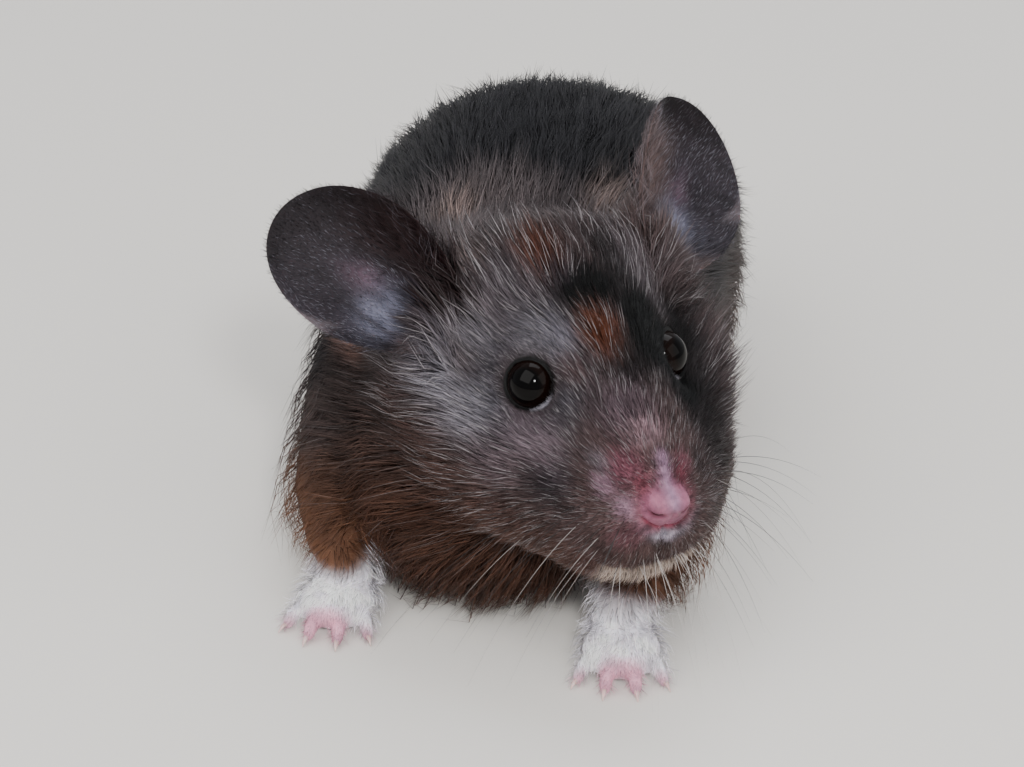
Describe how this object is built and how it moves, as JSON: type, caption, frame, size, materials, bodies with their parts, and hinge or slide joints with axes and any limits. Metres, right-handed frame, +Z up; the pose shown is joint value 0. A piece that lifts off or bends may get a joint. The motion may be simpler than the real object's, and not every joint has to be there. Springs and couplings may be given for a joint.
{
  "type": "syrian hamster",
  "caption": "Life-size still model of a dark Syrian hamster standing on four feet, head turned to its left, ears spread, whiskers out.",
  "frame": {"origin": "on the floor, under the middle of the whole animal's box", "axes": "+Y towards the tail, so the animal faces -Y; +X to the animal's left, the side its head turns to; +Z up"},
  "size_m": [0.0618, 0.1258, 0.059],
  "materials": {
    "coat": "short soft fur, black-brown with a grey sheen",
    "ear_skin": "thin dark skin with fine short hairs",
    "nose_skin": "moist pink skin",
    "bare_skin": "pink skin under short pale hairs",
    "eye": "wet gloss"
  },
  "bodies": {
    "root": {"head": "coat", "neck": "coat", "trunk": "coat", "hindleg_left": "coat", "hindleg_right": "coat", "foreleg_left": "coat", "foreleg_right": "coat", "ear_left": "ear_skin", "ear_right": "ear_skin", "nose": "nose_skin", "eye_left": "eye", "eye_right": "eye", "forefoot_left": "bare_skin", "forefoot_right": "bare_skin", "hindfoot_left": "bare_skin", "hindfoot_right": "bare_skin", "tail": "bare_skin"}
  },
  "joints": []
}
